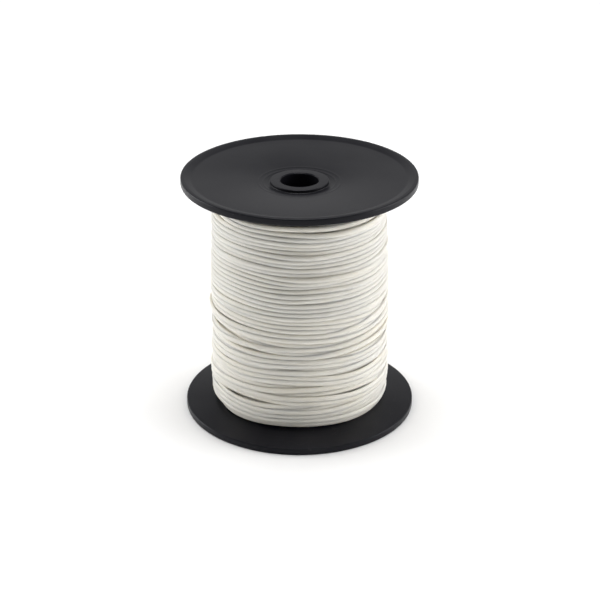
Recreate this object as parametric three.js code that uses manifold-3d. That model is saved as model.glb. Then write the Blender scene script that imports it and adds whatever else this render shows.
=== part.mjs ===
// A string reel: two moulded end flanges on a ribbed core, wound with string.
// Millimetres, +Z up along the spindle axis, origin at the centre of the face the reel stands on.
import * as THREE from 'three';
import { mergeVertices } from 'three/addons/utils/BufferGeometryUtils.js';
import Module from 'manifold-3d';

const wasm = await Module();
wasm.setup();

// Overall
const REEL_HEIGHT = 107;
const FLANGE_RADIUS = 50;
const BORE_RADIUS = 8.1; // for a 16 mm spindle
const GAP = 0.3; // left between pieces that touch
const ROUND_STEPS = 60; // facets around the axis

// Flange. A depth is measured from the rim's plane in towards the middle of the reel.
const RIM_THICKNESS = 3.05;
const RIM_ROUNDING = 0.6;
const RIM_LAND_WIDTH = 1;
const BAND_INNER_RADIUS = 45.4;
const DISH_DEPTH = 4.0;
const DISH_SLOPE_AT_HUB = 0.142;
const DISH_SLOPE_AT_BAND = 0.043;
const BOSS_RADIUS = 12.4;
const BOSS_DEPTH = 2.6;
const BOSS_ROUNDING = 0.6;
const BOSS_FOOT = 0.6; // chamfer where the boss meets the dish
const DISH_RADIUS = BOSS_RADIUS + BOSS_FOOT;
const BORE_CHAMFER = 0.4;
const INNER_BEND_RADIUS = 38;
const INNER_BEND_DEPTH = 5.2;
const SEAT_RADIUS = 28.2;
const SEAT_DEPTH = 6.2;
const SPIGOT_WIDTH = 2.6;
const SPIGOT_DEPTH = 12;
const COLLAR_DEPTH = 9;
const WEB_DEPTH = 7.6; // of the inner face between the spigot and the collar

// Core
const CORE_RADIUS = 27.5;
const CORE_WALL = 2.5;
const BORE_TUBE_WALL = 2.7;
const RIB_COUNT = 6;
const RIB_THICKNESS = 2;
const RIB_OVERLAP = 0.5; // how far a rib runs into the walls that it joins

// Winding: its outline as [height, radius] from the lower flange to the upper one
const WINDING_OUTLINE = [
  [5.75, 36.7],
  [7.3, 38.3],
  [14, 38.9],
  [26, 39.1],
  [38, 38.1],
  [52, 38.6],
  [70, 38.3],
  [85, 37.4],
  [98, 37.4],
  [101.3, 36.4],
];

const blackPlastic = { color: 0x1d1d1f, roughness: 0.42, metalness: 0 };
const greyPlastic = { color: 0x2b2b2d, roughness: 0.6, metalness: 0 };
const stringWhite = { color: 0xe4e1d6, roughness: 0.38, metalness: 0 };

function arc(centreR, centreD, radius, startDegrees, endDegrees, steps) {
  const points = [];
  for (let i = 0; i <= steps; i += 1) {
    const angle = THREE.MathUtils.degToRad(startDegrees + ((endDegrees - startDegrees) * i) / steps);
    points.push([centreR + radius * Math.cos(angle), centreD + radius * Math.sin(angle)]);
  }
  return points;
}

// Turns a closed outline of [radius, height] points, listed anticlockwise, about the Z axis.
function turned(outline) {
  const points = [...outline, outline[0]].map(([r, z]) => new THREE.Vector2(r, z));
  return new THREE.LatheGeometry(points, ROUND_STEPS).rotateX(Math.PI / 2);
}

function toManifold(geometry) {
  const bare = geometry.clone();
  bare.deleteAttribute('normal');
  bare.deleteAttribute('uv');
  const merged = mergeVertices(bare, 1e-4);
  return new wasm.Manifold(
    new wasm.Mesh({
      numProp: 3,
      vertProperties: new Float32Array(merged.attributes.position.array),
      triVerts: new Uint32Array(merged.index.array),
    }),
  );
}

function fromManifold(solid) {
  const { vertProperties, triVerts } = solid.getMesh();
  const geometry = new THREE.BufferGeometry();
  geometry.setAttribute('position', new THREE.BufferAttribute(vertProperties, 3));
  geometry.setIndex(new THREE.BufferAttribute(triVerts, 1));
  geometry.computeVertexNormals();
  return geometry;
}

function piece(name, geometry, material) {
  const mesh = new THREE.Mesh(geometry, new THREE.MeshStandardMaterial(material));
  mesh.name = name;
  return mesh;
}

// The dished outer face, whose slope falls off evenly from the hub to the rim band.
function dishPoints(steps) {
  const points = [];
  const span = BAND_INNER_RADIUS - DISH_RADIUS;
  const slopeChange = DISH_SLOPE_AT_BAND - DISH_SLOPE_AT_HUB;
  for (let i = 0; i <= steps; i += 1) {
    const t = i / steps;
    const rise = span * (DISH_SLOPE_AT_HUB * t + (slopeChange * t * t) / 2);
    points.push([DISH_RADIUS + span * t, DISH_DEPTH - rise]);
  }
  return points;
}

// One end flange, standing on its outer face: bore, hub boss, dished web, rim, and on its
// inner side the seat and spigot for the core's drum and the collar for its bore tube.
function flangeGeometry() {
  const landOuter = FLANGE_RADIUS - RIM_ROUNDING;
  const spigotOuter = CORE_RADIUS - CORE_WALL - GAP;
  const spigotInner = spigotOuter - SPIGOT_WIDTH;
  return turned([
    [BORE_RADIUS, BOSS_DEPTH + BORE_CHAMFER],
    [BORE_RADIUS + BORE_CHAMFER, BOSS_DEPTH],
    ...arc(BOSS_RADIUS - BOSS_ROUNDING, BOSS_DEPTH + BOSS_ROUNDING, BOSS_ROUNDING, -90, 0, 2),
    [BOSS_RADIUS, DISH_DEPTH - BOSS_FOOT],
    ...dishPoints(5),
    [landOuter - RIM_LAND_WIDTH, 0],
    ...arc(landOuter, RIM_ROUNDING, RIM_ROUNDING, -90, 0, 2),
    ...arc(landOuter, RIM_THICKNESS - RIM_ROUNDING, RIM_ROUNDING, 0, 90, 2),
    [INNER_BEND_RADIUS, INNER_BEND_DEPTH],
    [SEAT_RADIUS, SEAT_DEPTH],
    [spigotOuter, SEAT_DEPTH],
    [spigotOuter, SPIGOT_DEPTH],
    [spigotInner, SPIGOT_DEPTH],
    [spigotInner, WEB_DEPTH],
    [BOSS_RADIUS, WEB_DEPTH],
    [BOSS_RADIUS, COLLAR_DEPTH],
    [BORE_RADIUS, COLLAR_DEPTH],
  ]);
}

// A round wall between two radii, over the middle of the reel, `end` short of each end of it.
function wallGeometry(innerRadius, outerRadius, end) {
  return turned([
    [innerRadius, end],
    [outerRadius, end],
    [outerRadius, REEL_HEIGHT - end],
    [innerRadius, REEL_HEIGHT - end],
  ]);
}

// The core: the drum that carries the string, the bore tube, and the ribs that join them.
function coreGeometry() {
  const drumInner = CORE_RADIUS - CORE_WALL;
  const tubeOuter = BORE_RADIUS + BORE_TUBE_WALL;
  const drum = wallGeometry(drumInner, CORE_RADIUS, SEAT_DEPTH + GAP);
  const boreTube = wallGeometry(BORE_RADIUS, tubeOuter, COLLAR_DEPTH + GAP);
  const ribLength = drumInner - tubeOuter + 2 * RIB_OVERLAP;
  const ribHeight = REEL_HEIGHT - 2 * (SPIGOT_DEPTH + GAP);
  let solid = toManifold(drum).add(toManifold(boreTube));
  for (let i = 0; i < RIB_COUNT; i += 1) {
    const rib = new THREE.BoxGeometry(ribLength, RIB_THICKNESS, ribHeight);
    rib.translate((drumInner + tubeOuter) / 2, 0, REEL_HEIGHT / 2);
    rib.rotateZ((i * 2 * Math.PI) / RIB_COUNT);
    solid = solid.add(toManifold(rib));
  }
  return fromManifold(solid);
}

// The wound string as one ring: its outer shape, clear of the core and of both flanges.
function windingGeometry() {
  const innerRadius = CORE_RADIUS + GAP;
  const bottom = SEAT_DEPTH + GAP;
  return turned([
    [innerRadius, bottom],
    ...WINDING_OUTLINE.map(([height, radius]) => [radius, height]),
    [innerRadius, REEL_HEIGHT - bottom],
  ]);
}

const reel = new THREE.Group();

const lowerFlange = piece('lower_flange', flangeGeometry(), blackPlastic);
reel.add(lowerFlange);

const upperEnd = new THREE.Group();
upperEnd.position.z = REEL_HEIGHT;
upperEnd.rotation.x = Math.PI;
upperEnd.add(piece('upper_flange', flangeGeometry(), blackPlastic));
reel.add(upperEnd);

reel.add(piece('core', coreGeometry(), greyPlastic));
reel.add(piece('string_winding', windingGeometry(), stringWhite));

export default reel;
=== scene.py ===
"""A reel of string: two dished black flanges on a hollow core, wound with off-white string."""
import math

import bmesh
import bpy
import numpy as np
from mathutils import Matrix, Vector


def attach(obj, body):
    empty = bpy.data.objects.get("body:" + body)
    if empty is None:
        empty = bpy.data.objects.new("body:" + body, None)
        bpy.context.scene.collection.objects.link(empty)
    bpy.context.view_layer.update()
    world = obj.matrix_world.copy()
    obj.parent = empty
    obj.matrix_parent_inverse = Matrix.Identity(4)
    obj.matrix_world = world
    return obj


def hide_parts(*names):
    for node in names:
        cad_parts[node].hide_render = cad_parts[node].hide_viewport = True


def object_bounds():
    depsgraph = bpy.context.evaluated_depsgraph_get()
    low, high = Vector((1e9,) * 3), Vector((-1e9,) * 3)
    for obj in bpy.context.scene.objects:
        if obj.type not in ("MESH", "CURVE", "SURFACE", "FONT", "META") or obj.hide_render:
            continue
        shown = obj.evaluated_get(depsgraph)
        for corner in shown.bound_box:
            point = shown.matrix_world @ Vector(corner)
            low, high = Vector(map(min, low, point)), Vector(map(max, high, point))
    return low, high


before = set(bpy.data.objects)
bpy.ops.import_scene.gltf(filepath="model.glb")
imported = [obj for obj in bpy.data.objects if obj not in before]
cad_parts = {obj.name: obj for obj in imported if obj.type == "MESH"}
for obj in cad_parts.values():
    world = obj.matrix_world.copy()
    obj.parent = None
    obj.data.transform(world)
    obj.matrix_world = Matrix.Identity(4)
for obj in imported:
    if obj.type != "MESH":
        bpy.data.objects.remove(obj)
cad_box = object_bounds()

MM = 0.001
FULL_TURN = 2 * math.pi

# ---------------------------------------------------------------- sizes, in millimetres
REEL_HEIGHT = (cad_box[1].z - cad_box[0].z) / MM
FLANGE_RADIUS = (cad_box[1].x - cad_box[0].x) / 2 / MM
BORE_RADIUS = 8.1
GAP = 0.3

# Core
CORE_RADIUS = 27.5
CORE_WALL = 2.5
BORE_TUBE_WALL = 2.7
RIB_COUNT = 6
RIB_THICKNESS = 2.0
RIB_OVERLAP = 0.5

# Flange. A depth is measured from the rim's plane in towards the middle of the reel.
RIM_THICKNESS = 3.05
RIM_ROUNDING = 0.6
RIM_LAND_WIDTH = 1.0
BAND_INNER_RADIUS = 45.4
BAND_EASING = 0.5         # of the corner where the dish turns up into the band
BAND_EDGE = ((-0.15, 0.02), (0.1, 0.0))  # points that ease the corner of band and rim land
DISH_DEPTH = 4.0
DISH_SLOPE_AT_HUB = 0.142
DISH_SLOPE_AT_BAND = 0.043
BOSS_RADIUS = 12.4
BOSS_DEPTH = 2.6
BOSS_ROUNDING = 0.35
BOSS_FILLET_WIDTH = 0.6
BOSS_FILLET_HEIGHT = 0.4
DISH_RADIUS = BOSS_RADIUS + BOSS_FILLET_WIDTH
HUB_RINGS = (15.2, 17.3)  # faint raised lines round the hub
HUB_RING_HEIGHT = 0.1
HUB_RING_WIDTH = 0.3
DISH_STEPS = 90
BORE_CHAMFER = 0.4
INNER_BEND_RADIUS = 38.0
INNER_BEND_DEPTH = 5.2
SEAT_RADIUS = 28.2
SEAT_DEPTH = 6.2
SPIGOT_WIDTH = 2.6
SPIGOT_DEPTH = 12.0
COLLAR_DEPTH = 9.0
WEB_DEPTH = 7.6

# String
STRING_DIAMETER = 1.9
STRING_LENGTH = 50000.0
STRING_FLATTENING = 0.79  # its section is this much thinner, and wider to match

# ---------------------------------------------------------------- camera
CAMERA_DISTANCE = 0.750
CAMERA_ELEVATION = math.radians(25.13)
CAMERA_AIM = Vector((0.0002, 0.0, 0.0486))
CAMERA_LENS = 103.73


def make_camera():
    """Stands in front of the reel and looks down on it, as the photo's camera does."""
    data = bpy.data.cameras.new("camera")
    data.sensor_width = 36.0
    data.lens = CAMERA_LENS
    data.clip_start = 0.01
    camera = bpy.data.objects.new("camera", data)
    bpy.context.scene.collection.objects.link(camera)
    back = Vector((0.0, -math.cos(CAMERA_ELEVATION), math.sin(CAMERA_ELEVATION)))
    camera.location = CAMERA_AIM + back * CAMERA_DISTANCE
    camera.rotation_euler = back.to_track_quat("Z", "Y").to_euler()
    bpy.context.scene.camera = camera


# ---------------------------------------------------------------- winding the string
# Lengths are in millimetres unless a comment says otherwise.
COLUMNS = 48              # places round the drum at which the string is laid
WINDING_SEED = 12
MOST_TURNS = 300
TURNS_BENEATH = 140       # how many earlier turns a new one can rest on
FAR_AWAY = 1e9
ON_DRUM = CORE_RADIUS + STRING_DIAMETER / 2
LOOSE_FROM = 0.60         # share of the length after which the winding gets loose
LOOSE_OVER = 0.05         # share of the length over which it does
TIGHT_PITCH = 1.03        # of the inner layers, in diameters
LOOSE_PITCH = 1.0         # of the outer layers
LEAST_PITCH = 0.2
EXTRA_PITCH_AT_TOP = 0.12  # added in the outer layers, near the upper flange
TOP_FROM = 65.0           # height at which the pitch starts to grow
TOP_OVER = 25.0
TIGHT_SWAY = 0.3          # how far the string strays to and fro
LOOSE_SWAY = 1.8
SWAY_MEMORY = 4           # in columns
SWAY_LAG = 4              # in columns
TIGHT_FEED_DRIFT = 0.1    # how unevenly the guide moves, as a share of its speed
LOOSE_FEED_DRIFT = 0.3
FEED_MEMORY = 50          # in columns
SKIPS_PER_TURN = 0.4      # in the loose winding, where the guide jumps ahead
SKIP_RANGE = (0.5, 1.1)   # how far, in diameters
CLOSEST = 0.93            # of a diameter, between neighbouring turns
START_CLEARANCE = 0.1     # from the upper flange
FLANGE_CLEARANCE = 0.05
MOST_SLIDE = 0.45         # sideways from one column to the next
MOST_DROP = 0.25          # inwards from one column to the next
ASIDE = np.linspace(-0.25, 0.25, 9)  # places tried, to either side of where the guide leads
TARGET_WEIGHT = 2         # what it costs to miss the target, against lying further out
BEND_WEIGHT = 1.5         # what it costs to bend sideways
END_ANGLE = math.radians(118)

# Fitting the winding to its outline
PULL_RANGE = (0.88, 1.08)
SECOND_LAYER = 0.87       # how far below the outermost layer the next one lies, in diameters
OUTER_PRESS = 0.26        # what is left of that when the two are pressed together

# Free end
TUCK_COLUMNS = 7          # length of the stretch that dives under its neighbours
TUCK_CROSSINGS = (0.4, 0.18)  # when it passes under each turn, as shares of the stretch left
TUCK_PAST = 0.7           # how far beyond those turns it ends, in diameters
TUCK_DROP = 0.5           # how far inwards it goes, in diameters
TUCK_STEEPNESS = 2.2      # how much sooner it drops than it moves sideways
TUCK_LIFT = 0.75          # how far those turns rise over it, in diameters
LIFT_COLUMNS = 2.6        # half the length over which they rise

# Mesh
HIDDEN_RINGS = 14         # rings of the mesh to each turn, in the layers that are covered
SHOWN_RINGS = 64          # and in the outer ones
SHOWN_TURNS = 92
STRING_SIDES = 12


def flange_face(radius):
    """How far in from the rim's plane a flange's inner face lies."""
    radii = (SEAT_RADIUS, INNER_BEND_RADIUS, FLANGE_RADIUS - RIM_ROUNDING)
    return float(np.interp(radius, radii, (SEAT_DEPTH, INNER_BEND_DEPTH, RIM_THICKNESS)))


def share_of(value, start, span):
    """0 up to `start`, then evenly to 1 over `span`."""
    return min(1, max(0, (value - start) / span))


def wandered(value, memory, rng):
    """The next step of a random walk that keeps near 0 and forgets itself over `memory` steps."""
    decay = math.exp(-1 / memory)
    return decay * value + math.sqrt(1 - decay**2) * rng.normal()


def resting_radii(options, heights, radii):
    """How far out the string would lie at each height, on the drum or on the turns beneath."""
    apart = options[:, None] - heights[None]
    lift = np.sqrt(np.maximum(STRING_DIAMETER**2 - apart**2, 0))
    resting = np.where(np.abs(apart) < STRING_DIAMETER, radii[None] + lift, 0)
    return np.maximum(resting.max(axis=1, initial=0), ON_DRUM)


def lay_string():
    """Lays the string column by column and returns its heights and radii."""
    rng = np.random.default_rng(WINDING_SEED)
    size = STRING_DIAMETER
    end_column = round(END_ANGLE / FULL_TURN * COLUMNS)
    heights = np.full((MOST_TURNS, COLUMNS), FAR_AWAY)
    radii = np.zeros((MOST_TURNS, COLUMNS))
    layers = np.zeros(MOST_TURNS * COLUMNS, int)
    radius = ON_DRUM
    height = guide = REEL_HEIGHT - flange_face(radius) - size / 2 - START_CLEARANCE
    direction = -1
    layer = 0
    slide = feed = sway = sway_speed = length = 0.0
    index = 0
    while length < STRING_LENGTH or index % COLUMNS != end_column:
        turn, column = divmod(index, COLUMNS)

        # where the guide would put the string
        loose = share_of(length / STRING_LENGTH, LOOSE_FROM, LOOSE_OVER)
        feed = wandered(feed, FEED_MEMORY, rng)
        sway_speed = wandered(sway_speed, SWAY_MEMORY, rng)
        most_sway = TIGHT_SWAY + (LOOSE_SWAY - TIGHT_SWAY) * loose
        sway += (sway_speed * most_sway - sway) / SWAY_LAG
        drift = TIGHT_FEED_DRIFT + (LOOSE_FEED_DRIFT - TIGHT_FEED_DRIFT) * loose
        pitch = TIGHT_PITCH + (LOOSE_PITCH - TIGHT_PITCH) * loose
        pitch += EXTRA_PITCH_AT_TOP * loose * share_of(guide, TOP_FROM, TOP_OVER)
        guide += direction * size / COLUMNS * max(LEAST_PITCH, pitch * (1 + feed * drift))
        if loose > 0 and rng.random() < SKIPS_PER_TURN / COLUMNS:
            guide += direction * size * rng.uniform(*SKIP_RANGE)
        target = guide + sway
        if turn and layers[index - COLUMNS] == layer:
            beside = heights[turn - 1, column] + direction * CLOSEST * size
            target = max(target, beside) if direction > 0 else min(target, beside)
        low = flange_face(radius) + size / 2 + FLANGE_CLEARANCE
        high = REEL_HEIGHT - low
        target = min(max(target, low), high)

        # where it settles
        step = min(max(target - height, -MOST_SLIDE), MOST_SLIDE)
        options = np.clip(height + step + ASIDE, low, high)
        beneath = slice(max(0, turn - TURNS_BENEATH), turn)
        support = resting_radii(options, heights[beneath, column], radii[beneath, column])
        missed = TARGET_WEIGHT * (options - target) ** 2
        bent = BEND_WEIGHT * (options - height - slide) ** 2
        best = (support + missed + bent).argmin()
        slide = (slide + options[best] - height) / 2
        height = options[best]
        radius = max(support[best], radius - MOST_DROP)
        heights[turn, column] = height
        radii[turn, column] = radius
        layers[index] = layer
        length += math.hypot(FULL_TURN * radius / COLUMNS, slide)
        index += 1

        # at a flange it starts the next layer
        if direction > 0:
            at_flange = guide > high or height == high
        else:
            at_flange = guide < low or height == low
        if at_flange:
            direction = -direction
            layer += 1
            guide = height
            sway = sway_speed = 0.0
    return heights.ravel()[:index], radii.ravel()[:index]


def winding_outline():
    """The winding's outer radius against height, from the CAD ring that stands for it."""
    ring = np.array([v.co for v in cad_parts["string_winding"].data.vertices]) / MM
    radius = np.hypot(ring[:, 0], ring[:, 1])
    outer = radius > CORE_RADIUS + STRING_DIAMETER
    points = np.unique(np.round(np.stack([ring[outer, 2], radius[outer]], axis=1), 2), axis=0)
    return points[:, 0], points[:, 1]


def mean_surface(heights, radii, levels):
    """The winding's outer radius at each level, averaged round it; 0 where there is none."""
    surface = np.zeros(len(levels))
    for i, level in enumerate(levels):
        near = np.abs(heights - level) < STRING_DIAMETER
        if near.any():
            column = np.arange(len(heights))[near] % COLUMNS
            top = np.zeros(COLUMNS)
            np.maximum.at(top, column, radii[near])
            surface[i] = top[top > 0].mean() + STRING_DIAMETER / 2
    return surface


def pull_to_outline(heights, radii):
    """Presses the turns together, or lets them ease, so that the winding keeps its outline."""
    levels = np.arange(0, REEL_HEIGHT, 1.0)
    surface = mean_surface(heights, radii, levels)
    wound = surface > 0
    outline = np.interp(levels, *winding_outline())
    pull = (outline[wound] - CORE_RADIUS) / (surface[wound] - CORE_RADIUS)
    pull = np.clip(smoothed(pull, 3), *PULL_RANGE)
    radii = ON_DRUM + (radii - ON_DRUM) * np.interp(heights, levels[wound], pull)

    outermost = np.interp(heights, levels, outline) - STRING_DIAMETER / 2
    depth = np.maximum(outermost - radii, 0)
    most = outermost - ON_DRUM
    second = STRING_DIAMETER * SECOND_LAYER
    second_pressed = second * OUTER_PRESS
    beyond = (depth - second) * (most - second_pressed) / (most - second)
    pressed = np.where(depth < second, depth * OUTER_PRESS, second_pressed + beyond)
    return np.where(depth > 0, outermost - pressed, radii)


def smoothed(values, width):
    """A running mean that weighs the middle most."""
    kernel = np.hanning(2 * width + 3)[1:-1]
    kernel /= kernel.sum()
    ends = (np.repeat(values[:1], width), np.repeat(values[-1:], width))
    return np.convolve(np.concatenate([ends[0], values, ends[1]]), kernel, "valid")


def tuck_end(heights, radii):
    """Takes the free end under the turns beside it, which rise a little to let it by."""
    index = np.arange(len(heights))
    last = len(heights) - 1
    dive = np.clip((index - last + TUCK_COLUMNS) / TUCK_COLUMNS, 0, 1)
    dive = dive * dive * (3 - 2 * dive)
    towards = np.sign(heights[-1 - COLUMNS] - heights[-1])
    heights = heights + towards * dive * STRING_DIAMETER * (len(TUCK_CROSSINGS) + TUCK_PAST)
    radii = radii - np.clip(TUCK_STEEPNESS * dive, 0, 1) * STRING_DIAMETER * TUCK_DROP
    for turn, left in enumerate(TUCK_CROSSINGS, start=1):
        crossing = last - turn * COLUMNS - TUCK_COLUMNS * left
        near = (index - crossing) / LIFT_COLUMNS
        radii = radii + TUCK_LIFT * STRING_DIAMETER * np.exp(-near * near)
    return heights, radii


# ---------------------------------------------------------------- mesh helpers
def add_object(name, mesh, material):
    obj = bpy.data.objects.new(name, mesh)
    bpy.context.scene.collection.objects.link(obj)
    mesh.materials.append(material)
    return obj


def tube_mesh(name, rings, around, along):
    """A closed tube from (ring, corner, xyz) points, with `along` and `around` as its UV map."""
    count, sides = rings.shape[:2]
    start = np.arange(count - 1)[:, None] * sides
    corner = np.arange(sides)[None, :]
    after = (corner + 1) % sides
    quads = np.stack(
        [start + corner, start + sides + corner, start + sides + after, start + after], axis=-1
    ).reshape(-1, 4)
    caps = [list(range(sides)), list(range(count * sides - 1, (count - 1) * sides - 1, -1))]
    mesh = bpy.data.meshes.new(name)
    mesh.from_pydata(rings.reshape(-1, 3).tolist(), [], quads.tolist() + caps)
    mesh.shade_smooth()
    u = np.stack([corner, corner, corner + 1, corner + 1], axis=-1)
    u = np.broadcast_to(u, (count - 1, sides, 4))
    v = np.stack([along[:-1], along[1:], along[1:], along[:-1]], axis=-1)[:, None, :]
    uv = np.stack([u * around / sides, np.broadcast_to(v, u.shape)], axis=-1).reshape(-1, 2)
    uv = np.concatenate([uv, np.zeros((2 * sides, 2))])
    mesh.uv_layers.new(name="along").data.foreach_set("uv", uv.ravel())
    return mesh


def make_string(material):
    heights, radii = lay_string()
    radii = pull_to_outline(heights, radii)
    heights = smoothed(heights, 3)
    radii = smoothed(radii, 3)
    heights, radii = tuck_end(heights, radii)
    angle = np.arange(len(heights)) * FULL_TURN / COLUMNS
    shown_from = angle[-1] - SHOWN_TURNS * FULL_TURN
    at = np.concatenate([
        np.arange(0, shown_from, FULL_TURN / HIDDEN_RINGS),
        np.arange(shown_from, angle[-1], FULL_TURN / SHOWN_RINGS),
    ])
    radius = np.interp(at, angle, radii)
    height = np.interp(at, angle, heights)
    centre = np.stack([radius * np.cos(at), radius * np.sin(at), height], axis=1) * MM
    ahead = np.gradient(centre, axis=0)
    ahead /= np.linalg.norm(ahead, axis=1, keepdims=True)
    outward = np.stack([np.cos(at), np.sin(at), np.zeros_like(at)], axis=1)
    across = np.cross(ahead, outward)
    across /= np.linalg.norm(across, axis=1, keepdims=True)
    outward = np.cross(across, ahead)
    corner = np.arange(STRING_SIDES) * FULL_TURN / STRING_SIDES
    ring = (
        outward[:, None, :] * STRING_FLATTENING * np.cos(corner)[None, :, None]
        + across[:, None, :] / STRING_FLATTENING * np.sin(corner)[None, :, None]
    ) * (STRING_DIAMETER / 2 * MM)
    pieces = np.linalg.norm(np.diff(centre, axis=0), axis=1)
    along = np.concatenate([[0], np.cumsum(pieces)])
    mesh = tube_mesh("string", centre[:, None, :] + ring, math.pi * STRING_DIAMETER * MM, along)
    obj = add_object("string", mesh, material)
    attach(obj, "root")
    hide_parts("string_winding")


# ---------------------------------------------------------------- flanges
def arc(centre_radius, centre_depth, wide, start, end, steps, tall=None):
    """Part of a circle, or of an ellipse where `tall` differs from `wide`."""
    tall = tall or wide
    angles = np.radians(np.linspace(start, end, steps + 1))
    return [(centre_radius + wide * math.cos(a), centre_depth + tall * math.sin(a)) for a in angles]


def eased_corner(start, middle, end, share, steps=5):
    """A curve from `start` round the corner at `middle`, as far as this share of the way to `end`."""
    start, middle, end = np.array([start, middle, end])
    finish = middle + (end - middle) * share
    return [
        tuple((1 - t) ** 2 * start + 2 * t * (1 - t) * middle + t * t * finish)
        for t in np.linspace(0, 1, steps + 1)
    ]


def dish_depth(radius):
    """Depth of the dished outer face, whose slope falls off evenly from the hub to the band."""
    span = BAND_INNER_RADIUS - DISH_RADIUS
    t = (radius - DISH_RADIUS) / span
    change = DISH_SLOPE_AT_BAND - DISH_SLOPE_AT_HUB
    return DISH_DEPTH - span * (DISH_SLOPE_AT_HUB * t + change * t * t / 2)


def flange_outline():
    """A flange's section as (radius, depth) points, from the bore's mouth round to the collar."""
    land = FLANGE_RADIUS - RIM_ROUNDING
    band_outer = land - RIM_LAND_WIDTH
    spigot_outer = CORE_RADIUS - CORE_WALL - GAP
    spigot_inner = spigot_outer - SPIGOT_WIDTH
    fillet_depth = dish_depth(DISH_RADIUS) - BOSS_FILLET_HEIGHT
    dish = []
    for radius in np.linspace(DISH_RADIUS + 0.4, BAND_INNER_RADIUS - BAND_EASING, DISH_STEPS):
        ridges = sum(math.exp(-((radius - ring) / HUB_RING_WIDTH) ** 2) for ring in HUB_RINGS)
        dish.append((radius, dish_depth(radius) - HUB_RING_HEIGHT * ridges))
    turn_up = eased_corner(
        dish[-1],
        (BAND_INNER_RADIUS, dish_depth(BAND_INNER_RADIUS)),
        (band_outer, 0.0),
        BAND_EASING / (band_outer - BAND_INNER_RADIUS),
    )
    return [
        (BORE_RADIUS, BOSS_DEPTH + BORE_CHAMFER),
        (BORE_RADIUS + BORE_CHAMFER, BOSS_DEPTH),
        *arc(BOSS_RADIUS - BOSS_ROUNDING, BOSS_DEPTH + BOSS_ROUNDING, BOSS_ROUNDING, -90, 0, 8),
        *arc(DISH_RADIUS, fillet_depth, BOSS_FILLET_WIDTH, 180, 90, 16, BOSS_FILLET_HEIGHT),
        *dish[:-1],
        *turn_up,
        *[(band_outer + beyond, depth) for beyond, depth in BAND_EDGE],
        *arc(land, RIM_ROUNDING, RIM_ROUNDING, -90, 0, 8),
        *arc(land, RIM_THICKNESS - RIM_ROUNDING, RIM_ROUNDING, 0, 90, 8),
        (INNER_BEND_RADIUS, INNER_BEND_DEPTH),
        (SEAT_RADIUS, SEAT_DEPTH),
        (spigot_outer, SEAT_DEPTH),
        (spigot_outer, SPIGOT_DEPTH),
        (spigot_inner, SPIGOT_DEPTH),
        (spigot_inner, WEB_DEPTH),
        (BOSS_RADIUS, WEB_DEPTH),
        (BOSS_RADIUS, COLLAR_DEPTH),
        (BORE_RADIUS, COLLAR_DEPTH),
    ]


def turned_mesh(name, outline, segments=256):
    """Turns a closed outline of (radius, height) points in millimetres about the Z axis."""
    angles = np.arange(segments) * FULL_TURN / segments
    radius, height = np.array(outline).T
    rings = np.stack(
        [
            radius[None, :] * np.cos(angles)[:, None],
            radius[None, :] * np.sin(angles)[:, None],
            np.broadcast_to(height, (segments, len(height))),
        ],
        axis=-1,
    )
    corners = len(outline)
    faces = []
    for i in range(segments):
        j = (i + 1) % segments
        for k in range(corners):
            m = (k + 1) % corners
            faces.append((i * corners + k, j * corners + k, j * corners + m, i * corners + m))
    mesh = bpy.data.meshes.new(name)
    mesh.from_pydata((rings.reshape(-1, 3) * MM).tolist(), [], faces)
    mesh.shade_smooth()
    return mesh


def sharpen(mesh, degrees=30):
    """Leaves a crisp edge where two faces meet at more than this angle."""
    edges = bmesh.new()
    edges.from_mesh(mesh)
    bmesh.ops.recalc_face_normals(edges, faces=edges.faces)
    for edge in edges.edges:
        edge.smooth = edge.calc_face_angle(0) < math.radians(degrees)
    edges.to_mesh(mesh)
    edges.free()


def make_flange(name, node, upper, material):
    mesh = turned_mesh(name, flange_outline())
    if upper:
        to_top = Matrix.Translation((0, 0, REEL_HEIGHT * MM))
        mesh.transform(to_top @ Matrix.Rotation(math.pi, 4, "X"))
    sharpen(mesh)
    obj = add_object(name, mesh, material)
    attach(obj, "root")
    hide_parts(node)


# ---------------------------------------------------------------- core
def wall_mesh(name, inner, outer, end):
    """A round wall between two radii, over the middle of the reel."""
    top = REEL_HEIGHT - end
    outline = [(inner, end), (outer, end), (outer, top), (inner, top)]
    return turned_mesh(name, outline, segments=192)


def rib_mesh(name, angle):
    drum_inner = CORE_RADIUS - CORE_WALL
    tube_outer = BORE_RADIUS + BORE_TUBE_WALL
    length = drum_inner - tube_outer + 2 * RIB_OVERLAP
    height = REEL_HEIGHT - 2 * (SPIGOT_DEPTH + GAP)
    box = bmesh.new()
    bmesh.ops.create_cube(box, size=MM)
    bmesh.ops.scale(box, vec=(length, RIB_THICKNESS, height), verts=box.verts)
    bmesh.ops.translate(
        box, vec=((drum_inner + tube_outer) / 2 * MM, 0, REEL_HEIGHT / 2 * MM), verts=box.verts
    )
    bmesh.ops.rotate(box, matrix=Matrix.Rotation(angle, 3, "Z"), verts=box.verts)
    mesh = bpy.data.meshes.new(name)
    box.to_mesh(mesh)
    box.free()
    return mesh


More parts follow.
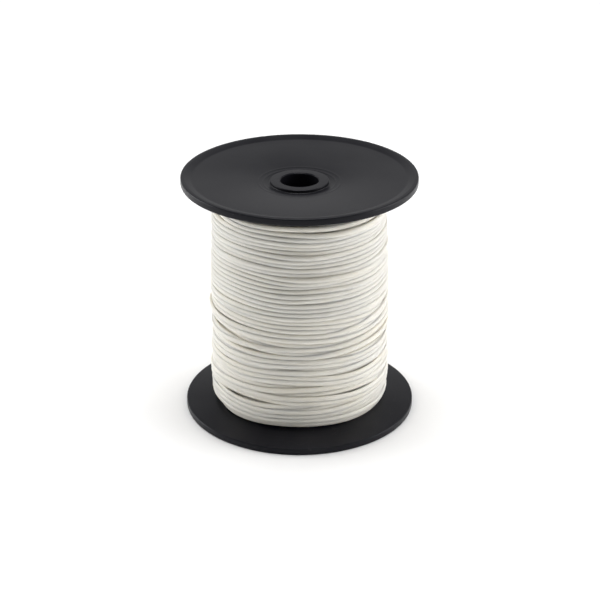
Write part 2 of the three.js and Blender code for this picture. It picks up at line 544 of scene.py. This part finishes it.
def make_core(material):
    drum = wall_mesh("core_moulding", CORE_RADIUS - CORE_WALL, CORE_RADIUS, SEAT_DEPTH + GAP)
    core = add_object("core_moulding", drum, material)
    tube = wall_mesh("bore_tube", BORE_RADIUS, BORE_RADIUS + BORE_TUBE_WALL, COLLAR_DEPTH + GAP)
    parts = [tube] + [rib_mesh(f"rib_{i}", i * FULL_TURN / RIB_COUNT) for i in range(RIB_COUNT)]
    for part in parts:
        other = add_object(part.name, part, material)
        join = core.modifiers.new("join", "BOOLEAN")
        join.operation = "UNION"
        join.solver = "EXACT"
        join.object = other
        graph = bpy.context.evaluated_depsgraph_get()
        joined = bpy.data.meshes.new_from_object(core.evaluated_get(graph))
        core.modifiers.clear()
        core.data = joined
        bpy.data.objects.remove(other)
    sharpen(core.data)
    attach(core, "root")
    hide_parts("core")


# ---------------------------------------------------------------- materials
FLANGE_BLACK = (0.0035, 0.0035, 0.006)
FLANGE_DUST = (0.30, 0.30, 0.30)
CORE_BLACK = (0.006, 0.006, 0.0065)
CORE_DUST = (0.30, 0.30, 0.29)
PLASTIC_IOR = 1.25        # lower than real plastic's, for the dark sheen in the photo
PLASTIC_TINT = (0.95, 0.95, 1.0, 1.0)
STRING_DARKER = (0.82, 0.775, 0.675)
STRING_LIGHTER = (0.89, 0.85, 0.77)


class Nodes:
    """Adds shader nodes to a tree; each call returns the new node's output socket."""

    def __init__(self, tree):
        self.tree = tree

    def add(self, kind, output=0, inputs=None, **settings):
        node = self.tree.nodes.new("ShaderNode" + kind)
        for name, value in settings.items():
            setattr(node, name, value)
        for name, value in (inputs or {}).items():
            if isinstance(value, bpy.types.NodeSocket):
                self.tree.links.new(value, node.inputs[name])
            else:
                node.inputs[name].default_value = value
        return node.outputs[output]

    def math(self, operation, a, b):
        return self.add("Math", 0, {0: a, 1: b}, operation=operation)

    def ramp(self, value, low, high, at_low, at_high, smooth=False):
        """`at_low` where the value is `low` or less, running to `at_high` at `high` or more."""
        sockets = {
            "Value": value,
            "From Min": low,
            "From Max": high,
            "To Min": at_low,
            "To Max": at_high,
        }
        kind = "SMOOTHSTEP" if smooth else "LINEAR"
        return self.add("MapRange", "Result", sockets, interpolation_type=kind)

    def noise(self, place, size, detail=2.0):
        """Noise whose features are about `size` across, in millimetres."""
        sockets = {"Vector": place, "Scale": 1 / (size * MM), "Detail": detail}
        return self.add("TexNoise", "Fac", sockets)

    def mix(self, share, color_a, color_b):
        sockets = {"Factor": share, "A": (*color_a, 1), "B": (*color_b, 1)}
        node = self.tree.nodes.new("ShaderNodeMix")
        node.data_type = "RGBA"
        for socket in node.inputs:
            if socket.enabled and socket.name in sockets:
                value = sockets[socket.name]
                if isinstance(value, bpy.types.NodeSocket):
                    self.tree.links.new(value, socket)
                else:
                    socket.default_value = value
        return next(socket for socket in node.outputs if socket.enabled)

    def bump(self, height, depth, strength=1.0):
        """A bump of this depth in millimetres where `height` runs from 0 to 1."""
        return self.add("Bump", 0, {"Height": height, "Distance": depth * MM, "Strength": strength})


def new_material(name, constants):
    """A material, its node builder and its shader, with these constants set on the shader."""
    material = bpy.data.materials.new(name)
    material.use_nodes = True
    shader = material.node_tree.nodes["Principled BSDF"]
    for socket, value in constants.items():
        shader.inputs[socket].default_value = value
    return material, Nodes(material.node_tree), shader


def wire(nodes, shader, **sockets):
    for name, value in sockets.items():
        nodes.tree.links.new(value, shader.inputs[name.replace("_", " ").title()])


def hairline_scuffs(nodes, place):
    """1 on the thin scuffs, which lie in patches and wander a little, and 0 elsewhere."""
    wandering = nodes.add("TexNoise", "Color", {"Vector": place, "Scale": 60.0, "Detail": 2.0})
    amount = (0.03, 0.03, 0.03)
    bent = nodes.add("VectorMath", 0, {0: wandering, 1: amount, 2: place}, operation="MULTIPLY_ADD")
    to_edge = nodes.add(
        "TexVoronoi", "Distance", {"Vector": bent, "Scale": 70.0}, feature="DISTANCE_TO_EDGE"
    )
    hairline = nodes.ramp(to_edge, 0.002, 0.008, 1.0, 0.0)
    patches = nodes.ramp(nodes.noise(place, 14.0), 0.56, 0.62, 0.0, 1.0)
    return nodes.math("MULTIPLY", hairline, patches)


def dust_specks(nodes, place):
    """1 on the small specks of dust, which lie in patches, and 0 elsewhere."""
    to_speck = nodes.add("TexVoronoi", "Distance", {"Vector": place, "Scale": 330.0})
    speck = nodes.ramp(to_speck, 0.02, 0.04, 1.0, 0.0)
    patches = nodes.ramp(nodes.noise(place, 5.0), 0.56, 0.62, 0.0, 1.0)
    return nodes.math("MULTIPLY", speck, patches)


def tool_rings(nodes, place):
    """Noise that changes only with the distance from the reel's axis."""
    flat = nodes.add("VectorMath", 0, {0: place, 1: (1.0, 1.0, 0.0)}, operation="MULTIPLY")
    from_axis = nodes.add("VectorMath", "Value", {0: flat}, operation="LENGTH")
    return nodes.noise(nodes.add("CombineXYZ", 0, {"X": from_axis}), 0.9, detail=3.0)


def moulded_plastic(name, dark, light, roughness, grain_depth):
    """Black moulded plastic: fine grain, faint tool rings, hairline scuffs and a little dust."""
    constants = {"IOR": PLASTIC_IOR, "Specular Tint": PLASTIC_TINT}
    material, nodes, shader = new_material(name, constants)
    place = nodes.add("TexCoord", "Object")
    grain = nodes.noise(place, 0.35, detail=4.0)
    cloud = nodes.noise(place, 22.0, detail=3.0)
    rings = tool_rings(nodes, place)
    scuff = hairline_scuffs(nodes, place)
    dust = dust_specks(nodes, place)

    cloud_and_rings = nodes.math("ADD", cloud, nodes.math("MULTIPLY", rings, 0.5))
    tone = nodes.ramp(cloud_and_rings, 0.5, 1.0, 0.0, 0.03)
    pale_scuff = nodes.math("MULTIPLY", scuff, 0.04)
    pale_dust = nodes.math("MULTIPLY", dust, 0.5)
    share = nodes.math("ADD", tone, nodes.math("MAXIMUM", pale_scuff, pale_dust))
    wire(nodes, shader, base_color=nodes.mix(share, dark, light))

    by_cloud = nodes.math("MULTIPLY", cloud, 0.10)
    by_rings = nodes.math("MULTIPLY", rings, 0.06)
    by_scuff = nodes.math("MULTIPLY", scuff, 0.12)
    uneven = nodes.math("ADD", nodes.math("ADD", by_cloud, by_rings), by_scuff)
    wire(nodes, shader, roughness=nodes.math("ADD", uneven, roughness - 0.08))

    height = nodes.math("ADD", grain, nodes.math("MULTIPLY", rings, 0.6))
    wire(nodes, shader, normal=nodes.bump(height, grain_depth))
    return material


def string_material():
    """Smooth off-white string that lets a little light through, each turn a touch different."""
    constants = {
        "IOR": 1.45,
        "Subsurface Weight": 1.0,
        "Subsurface Radius": (1.0, 0.98, 0.94),
        "Subsurface Scale": 0.0014,
    }
    material, nodes, shader = new_material("string", constants)
    place = nodes.add("TexCoord", "Object")
    laid = nodes.add("UVMap", 0, uv_map="along")
    drawn_out = (1.0, 0.06, 1.0)
    stretched = nodes.add("VectorMath", 0, {0: laid, 1: drawn_out}, operation="MULTIPLY")
    fibres = nodes.noise(stretched, 0.22, detail=3.0)
    only_along = (0.0, 1.0, 0.0)
    turn_place = nodes.add("VectorMath", 0, {0: laid, 1: only_along}, operation="MULTIPLY")
    by_turn = nodes.noise(turn_place, 120.0, detail=2.0)
    cloud = nodes.noise(place, 9.0, detail=3.0)

    tone = nodes.math("ADD", nodes.math("MULTIPLY", by_turn, 0.6), nodes.math("MULTIPLY", cloud, 0.3))
    tone = nodes.math("ADD", tone, nodes.math("MULTIPLY", fibres, 0.1))
    share = nodes.ramp(tone, 0.3, 0.7, 0.0, 1.0)
    wire(nodes, shader, base_color=nodes.mix(share, STRING_DARKER, STRING_LIGHTER))
    wire(nodes, shader, roughness=nodes.ramp(cloud, 0.3, 0.7, 0.36, 0.48))
    wire(nodes, shader, normal=nodes.bump(fibres, 0.02))
    return material


def floor_material():
    """Plain pale matt floor, faintly mottled."""
    material, nodes, shader = new_material("floor", {"Roughness": 0.9, "IOR": 1.3})
    place = nodes.add("TexCoord", "Object")
    mottle = nodes.noise(place, 8.0, detail=3.0)
    darker = (0.925, 0.925, 0.925)
    lighter = (0.935, 0.935, 0.935)
    wire(nodes, shader, base_color=nodes.mix(mottle, darker, lighter))
    return material


# ---------------------------------------------------------------- stage and light
FLOOR_HALF = 4.0          # in metres
FRONT_GLOW = 0.12         # how bright the room is, in front of the reel and behind it
BACK_GLOW = 0.57
HIGH_SHARE = 0.3          # of the glow, high up
LIGHTS = (                # name, place and size in metres, power in watts
    ("overhead", (0, 0.06, 2.2), 1.4, 42),
    ("right", (1.15, 0.0, 0.4), 0.8, 9.6),
    ("left", (-1.1, 0.3, 0.4), 0.8, 8.0),
)


def make_world():
    """A soft room that is dark in front of the reel and bright, low down, behind it."""
    world = bpy.data.worlds.new("world")
    bpy.context.scene.world = world
    world.use_nodes = True
    nodes = Nodes(world.node_tree)
    direction = nodes.add("TexCoord", "Generated")
    sideways = nodes.add("SeparateXYZ", "Y", {0: direction})
    upwards = nodes.add("SeparateXYZ", "Z", {0: direction})
    behind = nodes.ramp(sideways, -0.2, 0.6, FRONT_GLOW, BACK_GLOW, smooth=True)
    low = nodes.ramp(upwards, 0.45, 0.9, 1.0, HIGH_SHARE)
    above_floor = nodes.ramp(upwards, -0.02, 0.02, 0.0, 1.0)
    glow = nodes.math("MULTIPLY", nodes.math("MULTIPLY", behind, low), above_floor)
    background = world.node_tree.nodes["Background"]
    background.inputs["Color"].default_value = (1, 1, 1, 1)
    world.node_tree.links.new(glow, background.inputs["Strength"])


def area_light(name, location, size, power):
    """A square soft light that faces the middle of the reel."""
    data = bpy.data.lights.new(name, "AREA")
    data.shape = "SQUARE"
    data.size = size
    data.energy = power
    light = bpy.data.objects.new(name, data)
    bpy.context.scene.collection.objects.link(light)
    light.location = location
    facing = Vector(location) - Vector((0, 0, REEL_HEIGHT / 2 * MM))
    light.rotation_euler = facing.to_track_quat("Z", "Y").to_euler()


def make_stage():
    bpy.context.scene.view_settings.view_transform = "Standard"
    mesh = bpy.data.meshes.new("floor")
    corners = [(-1, -1), (1, -1), (1, 1), (-1, 1)]
    points = [(x * FLOOR_HALF, y * FLOOR_HALF, 0) for x, y in corners]
    mesh.from_pydata(points, [], [(0, 1, 2, 3)])
    add_object("floor", mesh, floor_material())
    make_world()
    for light in LIGHTS:
        area_light(*light)


make_camera()
make_string(string_material())
flange_plastic = moulded_plastic("flange_plastic", FLANGE_BLACK, FLANGE_DUST, 0.33, 0.010)
make_flange("lower_flange_moulding", "lower_flange", False, flange_plastic)
make_flange("upper_flange_moulding", "upper_flange", True, flange_plastic)
make_core(moulded_plastic("core_plastic", CORE_BLACK, CORE_DUST, 0.5, 0.012))
make_stage()
